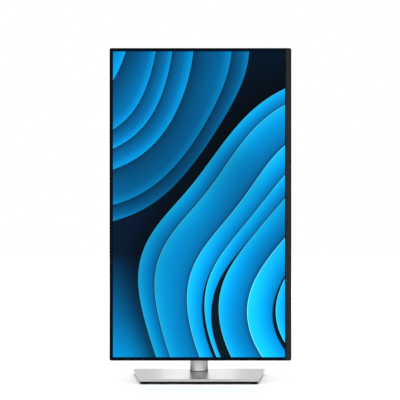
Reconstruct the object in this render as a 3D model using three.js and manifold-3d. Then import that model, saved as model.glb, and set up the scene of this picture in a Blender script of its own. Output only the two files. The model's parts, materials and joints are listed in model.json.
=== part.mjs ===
// Computer monitor: a 24-inch-class 16:9 office display on a height, tilt, swivel and pivot stand.
//
// Units are millimetres. +Z is up and the screen faces -Y. The origin is on the desk, under the
// middle of the object's box. The head stands in portrait, so its chin strip is on the right.
//
// Each sub-part is one closed body in its own named mesh. The head's pieces are drawn in the
// head's own frame, as it hangs in landscape: X along the long side, Z up, and Y the depth behind
// the front of the rim. One turned group then stands them in portrait on the stand.

import * as THREE from "three";
import { mergeVertices } from "three/addons/utils/BufferGeometryUtils.js";
import Module from "manifold-3d";

const wasm = await Module();
wasm.setup();

// ------------------------------------------------------------------ driving dimensions

const GAP = 0.3; // clearance between neighbouring pieces

// Head
const ACTIVE_WIDTH = 527.04; // picture, long side: 23.8 inches at 16:9
const ACTIVE_HEIGHT = 296.46; // picture, short side
const BEZEL = 5.9; // border on three sides
const CHIN = 11; // border on the side with the chin strip
const HEAD_CORNER = 3;
const RIM_WALL = 1.5;
const RIM_DEPTH = 7;
const EDGE_DEPTH = 9.5; // depth of the head at its edges
const HEAD_DEPTH = 46; // depth of the head over its electronics
const COVER_WALL = 2.2;
const BULGE_WIDTH = 410;
const BULGE_HEIGHT = 236;
const BULGE_CORNER = 52;
const BULGE_ROUND = 44; // how far the bulge's edges roll in by its back

// Port recess in the back of the head
const RECESS_HALF_WIDTH = 165;
const RECESS_TOP = -84;
const RECESS_FLOOR = 16; // depth of the recess's front wall

// Stand
const PIVOT_HEIGHT = 312.4;
const SCREEN_Y = -81.5; // front of the head
const STAND_X = (BEZEL - CHIN) / 2; // the stand is centred on the picture, not on the housing
const TILT_Y = -10; // the tilt shaft's axis
const COLUMN_WIDTH = 33;
const COLUMN_DEPTH = 30;
const COLUMN_CORNER = 9.5;
const COLUMN_WALL = 2.2;
const COLUMN_FRONT = 41.1;
const COLUMN_BOTTOM = 10;
const COLUMN_TOP = 364;
const SLOT_WIDTH = 13; // the slot that the lift arm runs in
const SLOT_BOTTOM = 168;

// Base
const BASE_FRONT = -68.5;
const BASE_BACK = 81.5;
const BASE_FRONT_WIDTH = 207;
const BASE_BACK_WIDTH = 242;
const BASE_CORNER = 4;
const BASE_TOP = 9.3;
const BASE_SKIN = 2.2; // thickness of the cover's top
const BASE_SKIRT = 3; // thickness of the cover's sides
const COVER_BOTTOM = 4.9;
const PLATE_BOTTOM = 3.3;
const UNDERSIDE_BOTTOM = 1.2;
const FOOT_RADIUS = 5;
const FOOT_SPREAD = 94.5;

// Worked out from the dimensions above
const HALF_WIDTH = ACTIVE_WIDTH / 2 + BEZEL;
const HEAD_TOP = ACTIVE_HEIGHT / 2 + BEZEL;
const HEAD_BOTTOM = -(ACTIVE_HEIGHT / 2 + CHIN);
const COLUMN_Y = COLUMN_FRONT + COLUMN_DEPTH / 2;

// ------------------------------------------------------------------ finishes

const SILVER = { color: 0xc4c5c7, roughness: 0.32, metalness: 0.9 };
const STEEL = { color: 0xa9adb1, roughness: 0.4, metalness: 1 };
const SPRING_STEEL = { color: 0x6f7378, roughness: 0.35, metalness: 1 };
const ALUMINIUM = { color: 0xb9bcc0, roughness: 0.5, metalness: 1 };
const BLACK_PLASTIC = { color: 0x16171a, roughness: 0.6, metalness: 0 };
const CHIN_GREY = { color: 0x2f3135, roughness: 0.35, metalness: 0 };
const DARK_GLASS = { color: 0x0a1420, roughness: 0.15, metalness: 0 };
const CLEAR_ACRYLIC = { color: 0xe6eef0, roughness: 0.1, metalness: 0 };
const WHITE_FILM = { color: 0xf2f2ef, roughness: 0.5, metalness: 0 };
const BOARD_GREEN = { color: 0x1f5a3c, roughness: 0.5, metalness: 0 };
const RUBBER = { color: 0x1a1a1a, roughness: 0.9, metalness: 0 };

// ------------------------------------------------------------------ outlines

// A rectangle with round corners.
function roundedRectangle(x0, x1, y0, y1, radius) {
  const shape = new THREE.Shape();
  shape.moveTo(x0 + radius, y0);
  shape.lineTo(x1 - radius, y0);
  shape.absarc(x1 - radius, y0 + radius, radius, -Math.PI / 2, 0);
  shape.lineTo(x1, y1 - radius);
  shape.absarc(x1 - radius, y1 - radius, radius, 0, Math.PI / 2);
  shape.lineTo(x0 + radius, y1);
  shape.absarc(x0 + radius, y1 - radius, radius, Math.PI / 2, Math.PI);
  shape.lineTo(x0, y0 + radius);
  shape.absarc(x0 + radius, y0 + radius, radius, Math.PI, 1.5 * Math.PI);
  return shape;
}

function centredRectangle(width, height, radius) {
  return roundedRectangle(-width / 2, width / 2, -height / 2, height / 2, radius);
}

// A rounded rectangle with a rounded rectangular window.
function frameShape(outer, inner) {
  outer.holes.push(inner);
  return outer;
}

// The base's plan: wide at the back and narrow at the front, moved in by an inset.
function basePlan(inset) {
  const slope = (BASE_BACK_WIDTH - BASE_FRONT_WIDTH) / 2 / (BASE_BACK - BASE_FRONT);
  const sideInset = inset * Math.hypot(1, slope);
  const front = BASE_FRONT + inset;
  const back = BASE_BACK - inset;
  const halfWidth = (y) => BASE_FRONT_WIDTH / 2 + (y - BASE_FRONT) * slope - sideInset;
  const corners = [
    new THREE.Vector2(STAND_X - halfWidth(front), front),
    new THREE.Vector2(STAND_X + halfWidth(front), front),
    new THREE.Vector2(STAND_X + halfWidth(back), back),
    new THREE.Vector2(STAND_X - halfWidth(back), back),
  ];
  const shape = new THREE.Shape();
  corners.forEach((corner, i) => {
    const before = corners[(i + 3) % 4];
    const after = corners[(i + 1) % 4];
    const start = corner.clone().add(before.clone().sub(corner).setLength(BASE_CORNER));
    const end = corner.clone().add(after.clone().sub(corner).setLength(BASE_CORNER));
    if (i === 0) {
      shape.moveTo(start.x, start.y);
    } else {
      shape.lineTo(start.x, start.y);
    }
    shape.quadraticCurveTo(corner.x, corner.y, end.x, end.y);
  });
  shape.closePath();
  return shape;
}

// ------------------------------------------------------------------ solids

const PLAIN = { bevelEnabled: false, curveSegments: 3 };
const SMOOTH = { bevelEnabled: false, curveSegments: 5 };

// Drawn in X and Y, thick along Z.
function upright(shape, z0, z1, options = PLAIN) {
  return new THREE.ExtrudeGeometry(shape, { ...options, depth: z1 - z0 }).translate(0, 0, z0);
}

// Drawn in X and Z, thick along Y.
function facing(shape, y0, y1, options = PLAIN) {
  const geometry = new THREE.ExtrudeGeometry(shape, { ...options, depth: y1 - y0 });
  return geometry.rotateX(Math.PI / 2).translate(0, y1, 0);
}

// Drawn in Y and Z, thick along X.
function sideways(shape, x0, x1, options = PLAIN) {
  const geometry = new THREE.ExtrudeGeometry(shape, { ...options, depth: x1 - x0 });
  const axes = new THREE.Matrix4().makeBasis(
    new THREE.Vector3(0, 1, 0),
    new THREE.Vector3(0, 0, 1),
    new THREE.Vector3(1, 0, 0),
  );
  return geometry.applyMatrix4(axes).translate(x0, 0, 0);
}

function box(x0, x1, y0, y1, z0, z1) {
  const geometry = new THREE.BoxGeometry(x1 - x0, y1 - y0, z1 - z0);
  return geometry.translate((x0 + x1) / 2, (y0 + y1) / 2, (z0 + z1) / 2);
}

function rodX(radius, x0, x1, y = 0, z = 0, sides = 20) {
  const geometry = new THREE.CylinderGeometry(radius, radius, x1 - x0, sides);
  return geometry.rotateZ(Math.PI / 2).translate((x0 + x1) / 2, y, z);
}

function rodY(radius, y0, y1, x = 0, z = 0, sides = 20) {
  const geometry = new THREE.CylinderGeometry(radius, radius, y1 - y0, sides);
  return geometry.translate(x, (y0 + y1) / 2, z);
}

function rodZ(radius, z0, z1, x = 0, y = 0, sides = 20) {
  const geometry = new THREE.CylinderGeometry(radius, radius, z1 - z0, sides);
  return geometry.rotateX(Math.PI / 2).translate(x, y, (z0 + z1) / 2);
}

// A profile of [radius, height] points turned about Y.
function turnedY(points, sides = 24) {
  return new THREE.LatheGeometry(points.map(([r, y]) => new THREE.Vector2(r, y)), sides);
}

// The same, turned about Z.
function turnedZ(points, sides = 24) {
  return turnedY(points, sides).rotateX(Math.PI / 2);
}

// A closed three.js geometry as a solid that can be cut and joined.
function solid(shape) {
  if (!shape.isBufferGeometry) {
    return shape;
  }
  const bare = shape.clone();
  bare.deleteAttribute("normal");
  bare.deleteAttribute("uv");
  const merged = mergeVertices(bare);
  const corners = merged.index.array;
  const triangles = [];
  for (let i = 0; i < corners.length; i += 3) {
    const [a, b, c] = [corners[i], corners[i + 1], corners[i + 2]];
    if (a !== b && b !== c && c !== a) {
      triangles.push(a, b, c);
    }
  }
  return new wasm.Manifold(new wasm.Mesh({
    numProp: 3,
    vertProperties: merged.attributes.position.array,
    triVerts: new Uint32Array(triangles),
  }));
}

function join(first, ...others) {
  return others.reduce((whole, other) => whole.add(solid(other)), solid(first));
}

function cut(first, ...tools) {
  return tools.reduce((whole, tool) => whole.subtract(solid(tool)), solid(first));
}

function geometryOf(shape) {
  const mesh = solid(shape).getMesh();
  const geometry = new THREE.BufferGeometry();
  geometry.setAttribute("position", new THREE.BufferAttribute(mesh.vertProperties, mesh.numProp));
  geometry.setIndex(new THREE.BufferAttribute(mesh.triVerts, 1));
  geometry.computeVertexNormals();
  return geometry;
}

function piece(name, shape, finish) {
  const mesh = new THREE.Mesh(geometryOf(shape), new THREE.MeshStandardMaterial(finish));
  mesh.name = name;
  return mesh;
}

function groupAt(x, y, z, ...pieces) {
  const group = new THREE.Group();
  group.position.set(x, y, z);
  group.add(...pieces);
  return group;
}

// ------------------------------------------------------------------ head: the display panel

const OPENING_HALF_WIDTH = HALF_WIDTH - RIM_WALL;
const OPENING_TOP = HEAD_TOP - RIM_WALL;
const OPENING_BOTTOM = HEAD_BOTTOM + RIM_WALL;
const CELL_BOTTOM = -(ACTIVE_HEIGHT / 2 + 1.8); // a narrow dark border, then the chin strip
const CELL_FRONT = 0.3;
const CELL_THICKNESS = 1.4;
const FILM_FRONT = CELL_FRONT + CELL_THICKNESS + GAP;
const FILM_THICKNESS = 0.6;
const GUIDE_FRONT = FILM_FRONT + FILM_THICKNESS + GAP;
const GUIDE_THICKNESS = 2;
const REFLECTOR_FRONT = GUIDE_FRONT + GUIDE_THICKNESS + GAP;
const REFLECTOR_THICKNESS = 0.3;
const TRAY_FRONT = REFLECTOR_FRONT + REFLECTOR_THICKNESS + GAP;
const TRAY_WALL = 0.8;
const TRAY_BACK = TRAY_FRONT + TRAY_WALL;
const TRAY_HALF_WIDTH = OPENING_HALF_WIDTH - 0.6;
const TRAY_TOP = OPENING_TOP - 0.6;
const TRAY_BOTTOM = OPENING_BOTTOM + 1.6;
const SHEET_HALF_WIDTH = TRAY_HALF_WIDTH - TRAY_WALL - 0.7;
const SHEET_TOP = TRAY_TOP - TRAY_WALL - 0.6;
const SHEET_BOTTOM = CELL_BOTTOM + 0.5;

function frontRim() {
  const outer = roundedRectangle(-HALF_WIDTH, HALF_WIDTH, HEAD_BOTTOM, HEAD_TOP, HEAD_CORNER);
  const opening = roundedRectangle(
    -OPENING_HALF_WIDTH,
    OPENING_HALF_WIDTH,
    OPENING_BOTTOM,
    OPENING_TOP,
    HEAD_CORNER - RIM_WALL,
  );
  return facing(frameShape(outer, opening), 0, RIM_DEPTH);
}

function chinStrip() {
  const half = OPENING_HALF_WIDTH - GAP;
  const back = CELL_FRONT + CELL_THICKNESS;
  return facing(roundedRectangle(-half, half, OPENING_BOTTOM + GAP, CELL_BOTTOM - GAP, 1), 0, back);
}

function lcdCell() {
  const half = OPENING_HALF_WIDTH - GAP;
  const back = CELL_FRONT + CELL_THICKNESS;
  const outline = roundedRectangle(-half, half, CELL_BOTTOM, OPENING_TOP - GAP, HEAD_CORNER - RIM_WALL);
  return facing(outline, CELL_FRONT, back);
}

function panelSheet(front, thickness) {
  return box(-SHEET_HALF_WIDTH, SHEET_HALF_WIDTH, front, front + thickness, SHEET_BOTTOM, SHEET_TOP);
}

// A long strip board with a row of light packages along its upper edge.
function ledLightBar() {
  const top = SHEET_BOTTOM - GAP;
  const half = SHEET_HALF_WIDTH - 4;
  const packageWidth = 7;
  const packages = 12;
  const pitch = (2 * half - packageWidth) / (packages - 1);
  let bar = solid(box(-half, half, GUIDE_FRONT, GUIDE_FRONT + GUIDE_THICKNESS, top - 2.6, top - 0.8));
  for (let i = 0; i < packages; i += 1) {
    const x = -half + i * pitch;
    bar = join(bar, box(x, x + packageWidth, GUIDE_FRONT + 0.3, GUIDE_FRONT + 1.7, top - 1, top));
  }
  return bar;
}

function panelTray() {
  const wallFront = FILM_FRONT;
  const outer = box(-TRAY_HALF_WIDTH, TRAY_HALF_WIDTH, wallFront, TRAY_BACK, TRAY_BOTTOM, TRAY_TOP);
  const inner = box(
    -TRAY_HALF_WIDTH + TRAY_WALL,
    TRAY_HALF_WIDTH - TRAY_WALL,
    wallFront - 1,
    TRAY_FRONT,
    TRAY_BOTTOM + TRAY_WALL,
    TRAY_TOP - TRAY_WALL,
  );
  return cut(outer, inner);
}

function timingBoard() {
  const front = TRAY_BACK + 0.5;
  const board = box(-110, 110, front, front + 1.2, -112, -97.5);
  const chip = box(-8, 8, front + 1.1, front + 2.4, -110, -100);
  const leftSocket = box(-74, -46, front + 1.1, front + 3, -111, -106);
  const rightSocket = box(46, 74, front + 1.1, front + 3, -111, -106);
  return join(board, chip, leftSocket, rightSocket);
}

// ------------------------------------------------------------------ head: chassis and boards

const CHASSIS_FRONT = 12;
const CHASSIS_SHEET = 1.5;
const CHASSIS_BACK = CHASSIS_FRONT + CHASSIS_SHEET;
const CHASSIS_HALF_WIDTH = 185;
const CHASSIS_HALF_HEIGHT = 94;
const BOARD_FRONT = 18;
const BOARD_BACK = BOARD_FRONT + 1.6;
const BOARD_INNER = 80; // the boards stand clear of the mount receiver
const BOARD_OUTER = 180;
const BOARD_BOTTOM = -78;
const BOARD_TOP = 60;
const RECEIVER_SCREW_X = 64;
const RECEIVER_SCREW_Z = 44;
const SCREW_RADIUS = 1.9;

function receiverScrewPlaces() {
  const places = [];
  for (const x of [-RECEIVER_SCREW_X, RECEIVER_SCREW_X]) {
    for (const z of [-RECEIVER_SCREW_Z, RECEIVER_SCREW_Z]) {
      places.push([x, z]);
    }
  }
  return places;
}

// A folded steel pan with posts for the boards and holes for the receiver's screws.
function shieldChassis() {
  const w = CHASSIS_HALF_WIDTH;
  const h = CHASSIS_HALF_HEIGHT;
  const t = CHASSIS_SHEET;
  let pan = cut(
    box(-w, w, TRAY_BACK + 0.4, CHASSIS_BACK, -h, h),
    box(-w + t, w - t, 0, CHASSIS_FRONT, -h + t, h - t),
    box(-14, 14, 0, CHASSIS_BACK + 1, 70, 82),
  );
  for (const side of [-1, 1]) {
    for (const x of [BOARD_INNER + 6, BOARD_OUTER - 6]) {
      for (const z of [BOARD_BOTTOM + 8, BOARD_TOP - 6]) {
        pan = join(pan, rodY(2.6, CHASSIS_FRONT + 0.5, BOARD_FRONT - GAP, side * x, z, 8));
      }
    }
  }
  for (const [x, z] of receiverScrewPlaces()) {
    pan = cut(pan, rodY(SCREW_RADIUS + GAP, CHASSIS_FRONT - 1, CHASSIS_BACK + 1, x, z, 10));
  }
  return pan;
}

function bareBoard(x0, x1) {
  return box(x0, x1, BOARD_FRONT, BOARD_BACK, BOARD_BOTTOM, BOARD_TOP);
}

// One component standing on the back of a board.
function component(x, z, width, height, depth) {
  const face = BOARD_BACK - 0.2;
  return box(x - width / 2, x + width / 2, face, face + depth, z - height / 2, z + height / 2);
}

function can(x, z, radius, depth) {
  return rodY(radius, BOARD_BACK - 0.2, BOARD_BACK + depth, x, z, 10);
}

function mainBoard() {
  return join(
    bareBoard(BOARD_INNER, BOARD_OUTER),
    component(126, 4, 30, 30, 7), // scaler under its heat sink
    component(158, 24, 12, 9, 1.4), // memory
    component(158, 8, 12, 9, 1.4),
    component(96, 40, 22, 6, 5), // cable socket to the panel
    can(98, -10, 4, 9),
    can(98, -24, 4, 9),
  );
}

function powerBoard() {
  return join(
    bareBoard(-BOARD_OUTER, -BOARD_INNER),
    component(-118, 14, 32, 28, 17), // transformer
    component(-160, 30, 5, 44, 15), // heat sinks
    component(-92, 10, 5, 40, 14),
    component(-112, -44, 20, 16, 13), // mains filter
    can(-140, -20, 8, 16),
    can(-104, 46, 5, 12),
    can(-122, 46, 5, 12),
  );
}

// ------------------------------------------------------------------ head: sockets

const SOCKET_MOUTH = RECESS_TOP - GAP;
const SOCKET_FRONT = BOARD_BACK + GAP;
const TONGUE_SETBACK = 5; // from the mouth to the contacts inside it

const SOCKETS = {
  hdmi_socket: { x: 146, width: 16, depth: 7, length: 16, wall: 0.9, tongue: [9, 1.4] },
  displayport_socket: { x: 121, width: 18, depth: 7.2, length: 16, wall: 0.9, tongue: [11, 1.4] },
  usb_socket: { x: 98, width: 12, depth: 11, length: 17, wall: 1.2, tongue: [5.6, 3] },
  ac_inlet: { x: -132, width: 30, depth: 21, length: 26, wall: 2.6, tongue: null },
};

function socketOutline({ x, width, depth }, clearance) {
  return {
    x0: x - width / 2 - clearance,
    x1: x + width / 2 + clearance,
    y0: SOCKET_FRONT - clearance,
    y1: SOCKET_FRONT + depth + clearance,
  };
}

function socketBody(size) {
  const { x0, x1, y0, y1 } = socketOutline(size, 0);
  const top = SOCKET_MOUTH + size.length;
  const middle = (y0 + y1) / 2;
  const hollowTop = top - 2;
  const shell = cut(
    box(x0, x1, y0, y1, SOCKET_MOUTH, top),
    box(
      x0 + size.wall,
      x1 - size.wall,
      y0 + size.wall,
      y1 - size.wall,
      SOCKET_MOUTH - 1,
      hollowTop,
    ),
  );
  const contactBottom = SOCKET_MOUTH + TONGUE_SETBACK;
  if (size.tongue) {
    const [width, thick] = size.tongue;
    const z1 = hollowTop + 1;
    return join(
      shell,
      box(
        size.x - width / 2,
        size.x + width / 2,
        middle - thick / 2,
        middle + thick / 2,
        contactBottom,
        z1,
      ),
    );
  }
  const pins = [[-7, 2], [0, -2], [7, 2]].map(([dx, dy]) => box(
    size.x + dx - 1,
    size.x + dx + 1,
    middle + dy - 2,
    middle + dy + 2,
    contactBottom + 2,
    hollowTop + 1,
  ));
  return join(shell, ...pins);
}

// ------------------------------------------------------------------ head: controls

const JOYSTICK = { x: 150, z: -48, pivotDepth: 38, hole: 7 };
const POWER = { x: 150, z: -20, radius: 5, clearance: 0.4 };
const KEY_BOARD_FRONT = 33;
const KEY_BOARD_BACK = 34.2;

// A small board with the stick's sensor and the switch behind the power button.
function keyBoard() {
  const face = KEY_BOARD_BACK - 0.2;
  return join(
    box(138, 162, KEY_BOARD_FRONT, KEY_BOARD_BACK, -60, -8),
    box(JOYSTICK.x - 6, JOYSTICK.x + 6, face, face + 0.9, JOYSTICK.z - 6, JOYSTICK.z + 6),
    box(POWER.x - 3, POWER.x + 3, face, face + 4.5, POWER.z - 3, POWER.z + 3),
  );
}

function powerButton() {
  const { x, z, radius } = POWER;
  const front = 40;
  const flange = 1.2;
  return join(
    rodY(radius, front, HEAD_DEPTH + 1, x, z, 24),
    rodY(radius + flange, front, front + flange, x, z, 24),
  );
}

// The stick's parts are turned about its own axis and then moved to its place.
function atJoystick(geometry) {
  return geometry.translate(JOYSTICK.x, 0, JOYSTICK.z);
}

function joystickGimbal() {
  const d = JOYSTICK.pivotDepth;
  return atJoystick(turnedY([[3.9, d - 1], [5, d - 1], [5, d + 1], [3.9, d + 1], [3.9, d - 1]], 16));
}

function joystickStem() {
  const d = JOYSTICK.pivotDepth;
  const profile = [[0, d - 2.2], [2.6, d - 1.2], [2.6, d + 1.2], [1.6, d + 2], [1.6, d + 8], [0, d + 8]];
  return atJoystick(turnedY(profile, 12));
}

function joystickCap() {
  const profile = [
    [0, 46.8],
    [2, 46.8],
    [2, 44],
    [4.2, 44],
    [5.2, 45],
    [5.2, 48.2],
    [4.6, 49.2],
    [3.2, 49.5],
    [0, 49],
  ];
  return atJoystick(turnedY(profile, 24));
}

// ------------------------------------------------------------------ head: rear cover

const MOUNT_RECESS = { halfWidth: 62, bottom: -66, top: 62, corner: 6 };
const BUTTON = { halfWidth: 16, bottom: -79, top: -69 };
const BACK_FACE = HEAD_DEPTH + 1; // just behind the cover, for the cuts that open through it
const VENTS = { count: 27, pitch: 10, width: 3.2, front: 24, back: 41, bottom: 84, top: 125 };
const LOCK_SLOT = { front: 22, back: 25, halfHeight: 3.5 };

// The rounded bulge over the electronics. Its sides are quarter ellipses from the thin edge of
// the head to its flat back. The extrusion has the same round on both ends, and keeps one.
function bulge(inset, front, back) {
  const round = back - EDGE_DEPTH;
  const plan = centredRectangle(
    BULGE_WIDTH - 2 * inset,
    BULGE_HEIGHT - 2 * inset,
    BULGE_CORNER - inset,
  );
  const options = {
    curveSegments: 4,
    bevelEnabled: true,
    bevelThickness: round,
    bevelSize: BULGE_ROUND,
    bevelOffset: -BULGE_ROUND,
    bevelSegments: 6,
  };
  const whole = facing(plan, front, EDGE_DEPTH, options);
  const everythingInFront = box(-300, 300, front - 2 * round, front, -200, 200);
  return cut(whole, everythingInFront);
}

function ventSlots() {
  const { count, pitch, width, front, back, bottom, top } = VENTS;
  const slots = [];
  for (let i = 0; i < count; i += 1) {
    const x = (i - (count - 1) / 2) * pitch - width / 2;
    slots.push(box(x, x + width, front, back, bottom, top));
  }
  return slots;
}

function rearCover() {
  const edge = RIM_DEPTH + GAP;
  const outline = roundedRectangle(-HALF_WIDTH, HALF_WIDTH, HEAD_BOTTOM, HEAD_TOP, HEAD_CORNER);
  const recess = box(
    -RECESS_HALF_WIDTH,
    RECESS_HALF_WIDTH,
    RECESS_FLOOR,
    BACK_FACE,
    -BULGE_HEIGHT / 2 - 2,
    RECESS_TOP,
  );
  const aroundRecess = box(
    -RECESS_HALF_WIDTH - COVER_WALL,
    RECESS_HALF_WIDTH + COVER_WALL,
    RECESS_FLOOR - COVER_WALL,
    HEAD_DEPTH + 4,
    -BULGE_HEIGHT / 2 - 4,
    RECESS_TOP + COVER_WALL,
  );
  const inside = cut(bulge(COVER_WALL, edge - 2, HEAD_DEPTH - COVER_WALL), aroundRecess);
  const backWall = [HEAD_DEPTH - COVER_WALL - 1, BACK_FACE];
  const mountHole = facing(
    roundedRectangle(
      -MOUNT_RECESS.halfWidth,
      MOUNT_RECESS.halfWidth,
      MOUNT_RECESS.bottom,
      MOUNT_RECESS.top,
      MOUNT_RECESS.corner,
    ),
    ...backWall,
  );
  const buttonHole = box(-BUTTON.halfWidth, BUTTON.halfWidth, ...backWall, BUTTON.bottom, BUTTON.top);
  const lockSlot = box(
    BULGE_WIDTH / 2 - 12,
    BULGE_WIDTH / 2 + 2,
    LOCK_SLOT.front,
    LOCK_SLOT.back,
    -LOCK_SLOT.halfHeight,
    LOCK_SLOT.halfHeight,
  );
  const socketHoles = Object.values(SOCKETS).map((size) => {
    const { x0, x1, y0, y1 } = socketOutline(size, GAP);
    return box(x0, x1, y0, y1, RECESS_TOP - 1, RECESS_TOP + COVER_WALL + 1);
  });
  return cut(
    join(facing(outline, edge, EDGE_DEPTH), bulge(0, edge, HEAD_DEPTH)),
    inside,
    recess,
    mountHole,
    buttonHole,
    rodY(POWER.radius + POWER.clearance, ...backWall, POWER.x, POWER.z, 24),
    rodY(JOYSTICK.hole, ...backWall, JOYSTICK.x, JOYSTICK.z, 24),
    lockSlot,
    ...socketHoles,
    ...ventSlots(),
  );
}

// ------------------------------------------------------------------ head: mount and latch

const RECEIVER_FRONT = 36;
const RECEIVER_SHEET = 2;
const RECEIVER_HALF = 57;
const RECEIVER_FOOT = 70;
const FOOT_DEPTH = CHASSIS_BACK + GAP;
const VESA_HALF = 50; // 100 mm hole pattern
const PLATE_FRONT = RECEIVER_FRONT + RECEIVER_SHEET + GAP;
const PLATE_THICKNESS = 5;
const PLATE_HALF = 57.7;
const HUB_FRONT = PLATE_FRONT + PLATE_THICKNESS + GAP;
const HUB_BACK = 50.5;
const HUB_RADIUS = 28;
const PIVOT_RADIUS = 8;
const PIVOT_END = 60;
const BRACKET_FRONT = HUB_BACK + GAP;
const BRACKET_SHEET = 3;
const WASHER_FRONT = BRACKET_FRONT + BRACKET_SHEET + GAP;
const NUT_FRONT = WASHER_FRONT + 1 + GAP;

// A pressed steel hat section: feet on the chassis, side walls, and the plate with the mount holes.
function mountReceiver() {
  const t = RECEIVER_SHEET;
  const back = RECEIVER_FRONT + t;
  const h = RECEIVER_HALF;
  const outer = box(-h, h, FOOT_DEPTH, back, -h, h);
  const inner = box(-h + t, h - t, FOOT_DEPTH - 1, RECEIVER_FRONT, -h - 1, h + 1);
  let hat = cut(outer, inner);
  for (const side of [-1, 1]) {
    const foot = box(-RECEIVER_FOOT, -h + 1, FOOT_DEPTH, FOOT_DEPTH + t, -h, h);
    hat = join(hat, side < 0 ? foot : foot.translate(RECEIVER_FOOT + h - 1, 0, 0));
  }
  for (const x of [-VESA_HALF, VESA_HALF]) {
    for (const z of [-VESA_HALF, VESA_HALF]) {
      hat = cut(hat, rodY(2.1, RECEIVER_FRONT - 1, back + 1, x, z, 12));
    }
  }
  for (const [x, z] of receiverScrewPlaces()) {
    hat = cut(hat, rodY(SCREW_RADIUS + GAP, FOOT_DEPTH - 1, FOOT_DEPTH + t + 1, x, z, 10));
  }
  return hat;
}

function receiverScrew(x, z) {
  const seat = FOOT_DEPTH + RECEIVER_SHEET + GAP;
  return join(
    rodY(SCREW_RADIUS, CHASSIS_FRONT - 2, seat + 1, x, z, 10),
    rodY(3.6, seat, seat + 2, x, z, 12),
  );
}

// The stand's plate, which hooks into the receiver from above and latches at its lower edge.
function quickReleasePlate() {
  const plan = centredRectangle(2 * PLATE_HALF, 2 * PLATE_HALF, 5);
  let plate = solid(facing(plan, PLATE_FRONT, PLATE_FRONT + PLATE_THICKNESS));
  for (const x of [-36, 36]) {
    for (const z of [-36, 36]) {
      plate = cut(plate, rodY(7, PLATE_FRONT - 1, HUB_FRONT, x, z, 16));
    }
  }
  return plate;
}

function pivotHub() {
  const profile = [
    [0, HUB_FRONT],
    [HUB_RADIUS - 1, HUB_FRONT],
    [HUB_RADIUS, HUB_FRONT + 1],
    [HUB_RADIUS, HUB_BACK - 1],
    [HUB_RADIUS - 1, HUB_BACK],
    [PIVOT_RADIUS, HUB_BACK],
    [PIVOT_RADIUS, PIVOT_END],
    [0, PIVOT_END],
  ];
  return turnedY(profile, 32);
}

function pivotNut() {
  return cut(
    rodY(13, NUT_FRONT, PIVOT_END, 0, 0, 6),
    rodY(PIVOT_RADIUS + GAP, NUT_FRONT - 1, PIVOT_END + 1, 0, 0, 20),
  );
}

function releaseButton() {
  const w = BUTTON.halfWidth - GAP;
  const z0 = BUTTON.bottom + GAP;
  const z1 = BUTTON.top - GAP;
  const thumbFace = facing(roundedRectangle(-w, w, z0, z1, 2), 37, HEAD_DEPTH + 1);
  const flange = box(-w - 2.5, w + 2.5, 37, 39.5, z0 - 1.6, z1 + 1.6);
  return join(thumbFace, flange);
}

// A folded steel slide whose lip holds the lower edge of the quick-release plate.
function releaseLatch() {
  const w = 10;
  return join(
    box(-w, w, 30.5, 32, -76, -58.5),
    box(-w, w, 30.5, 45.3, -60.3, -58.5),
    box(-w, w, 43.7, 45.3, -60.3, -54.5),
  );
}

// ------------------------------------------------------------------ stand head: the tilt hinge
// Drawn about the tilt shaft's axis: Y is the distance behind it.

const SHAFT_RADIUS = 5;
const BARREL_RADIUS = 9;
const BARREL_HALF = 12;
const EAR_INNER = 24;
const EAR_OUTER = 27;
const EAR_RADIUS = 11;
const BRACKET_Y = SCREEN_Y + BRACKET_FRONT - TILT_Y;

function earProfile() {
  const shape = new THREE.Shape();
  shape.moveTo(BRACKET_Y, -19);
  shape.lineTo(0, -EAR_RADIUS);
  shape.absarc(0, 0, EAR_RADIUS, -Math.PI / 2, Math.PI / 2);
  shape.lineTo(BRACKET_Y, 19);
  shape.closePath();
  return shape;
}

function tiltBracket() {
  const plate = facing(centredRectangle(66, 56, 6), BRACKET_Y, BRACKET_Y + BRACKET_SHEET);
  return cut(
    join(
      plate,
      sideways(earProfile(), -EAR_OUTER, -EAR_INNER),
      sideways(earProfile(), EAR_INNER, EAR_OUTER),
    ),
    rodX(SHAFT_RADIUS + GAP, -EAR_OUTER - 1, EAR_OUTER + 1),
    rodY(PIVOT_RADIUS + GAP, BRACKET_Y - 1, BRACKET_Y + BRACKET_SHEET + 1),
  );
}

function frictionWasher() {
  const y = SCREEN_Y + WASHER_FRONT - TILT_Y;
  const bore = PIVOT_RADIUS + GAP;
  return turnedY([[bore, y], [14, y], [14, y + 1], [bore, y + 1], [bore, y]]);
}

function tiltShaft() {
  return join(
    rodX(SHAFT_RADIUS, -EAR_OUTER - 6, EAR_OUTER + 1),
    rodX(8, EAR_OUTER + GAP, EAR_OUTER + 4.3),
  );
}

function tiltNut() {
  const x = -EAR_OUTER - GAP;
  return cut(
    rodX(8.5, x - 4.5, x, 0, 0, 6),
    rodX(SHAFT_RADIUS + GAP, x - 6, x + 1),
  );
}

// One round of wire beside the barrel, wound about the tilt shaft.
class CoilCurve extends THREE.Curve {
  constructor(radius, length, turns) {
    super();
    this.radius = radius;
    this.length = length;
    this.turns = turns;
  }

  getPoint(t, target = new THREE.Vector3()) {
    const angle = 2 * Math.PI * this.turns * t;
    const y = this.radius * Math.cos(angle);
    const z = this.radius * Math.sin(angle);
    return target.set(this.length * t, y, z);
  }
}

function tiltSpring(side) {
  const wire = 0.8;
  const turns = 4;
  const stepsPerTurn = 12;
  const length = EAR_INNER - BARREL_HALF - 2 * wire - 2 * GAP;
  const section = new THREE.Shape().absarc(0, 0, wire, 0, 2 * Math.PI);
  const coil = new THREE.ExtrudeGeometry(section, {
    steps: turns * stepsPerTurn,
    curveSegments: 3,
    bevelEnabled: false,
    extrudePath: new CoilCurve(SHAFT_RADIUS + 2.2, length, turns),
  });
  const start = BARREL_HALF + wire + GAP;
  return side > 0 ? coil.translate(start, 0, 0) : coil.rotateZ(Math.PI).translate(-start, 0, 0);
}

// ------------------------------------------------------------------ stand: lift

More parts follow.
